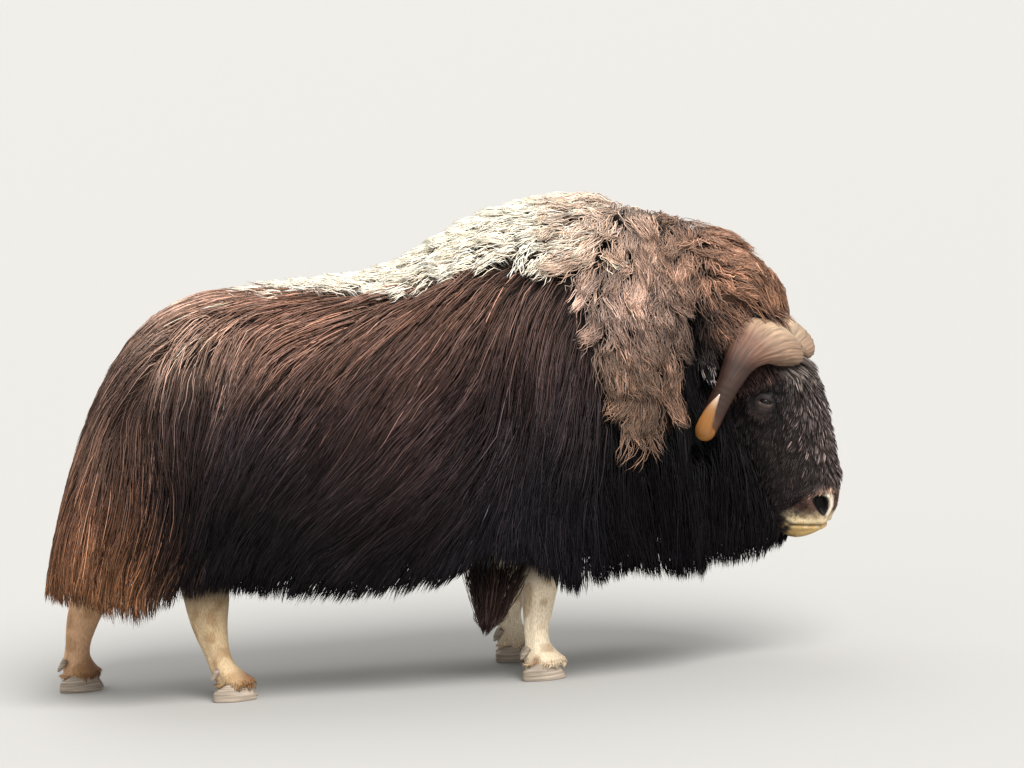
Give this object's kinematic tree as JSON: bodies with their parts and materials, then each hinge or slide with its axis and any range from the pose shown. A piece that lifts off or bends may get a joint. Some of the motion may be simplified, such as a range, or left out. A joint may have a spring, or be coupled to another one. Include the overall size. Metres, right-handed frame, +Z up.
{
  "type": "muskox",
  "caption": "Life-size muskox bull standing in mid-stride, with a long skirt of hair, a woolly mane and hooked horns.",
  "frame": {"origin": "on the floor, under the middle of the animal's bounding box", "axes": "+X towards the head, +Y to the animal's left, +Z up"},
  "size_m": [2.368, 0.7938, 1.4038],
  "materials": {
    "guard_hair": "long coarse hair, near black to brown",
    "mane_wool": "matted woolly hair, tan",
    "face_hair": "short dense hair, black",
    "leg_hair": "short smooth hair, cream",
    "horn": "ridged horn, tan with a pale tip",
    "hoof": "worn dark hoof",
    "eye": "wet dark brown"
  },
  "bodies": {
    "root": {"barrel": "guard_hair", "ear_left": "face_hair", "ear_right": "face_hair", "elbow_fringe_left": "guard_hair", "elbow_fringe_right": "guard_hair", "eye_left": "eye", "eye_right": "eye", "foreleg_left": "leg_hair", "foreleg_left_claw_left": "hoof", "foreleg_left_claw_right": "hoof", "foreleg_left_dewclaw_left": "hoof", "foreleg_left_dewclaw_right": "hoof", "foreleg_right": "leg_hair", "foreleg_right_claw_left": "hoof", "foreleg_right_claw_right": "hoof", "foreleg_right_dewclaw_left": "hoof", "foreleg_right_dewclaw_right": "hoof", "forelock": "mane_wool", "haunches": "guard_hair", "head": "face_hair", "hindleg_left": "leg_hair", "hindleg_left_claw_left": "hoof", "hindleg_left_claw_right": "hoof", "hindleg_left_dewclaw_left": "hoof", "hindleg_left_dewclaw_right": "hoof", "hindleg_right": "leg_hair", "hindleg_right_claw_left": "hoof", "hindleg_right_claw_right": "hoof", "hindleg_right_dewclaw_left": "hoof", "hindleg_right_dewclaw_right": "hoof", "horn_left": "horn", "horn_right": "horn", "lower_jaw": "face_hair", "neck_mane": "mane_wool", "shoulder_hump": "guard_hair", "tail": "guard_hair", "throat_ruff": "guard_hair"}
  },
  "joints": []
}
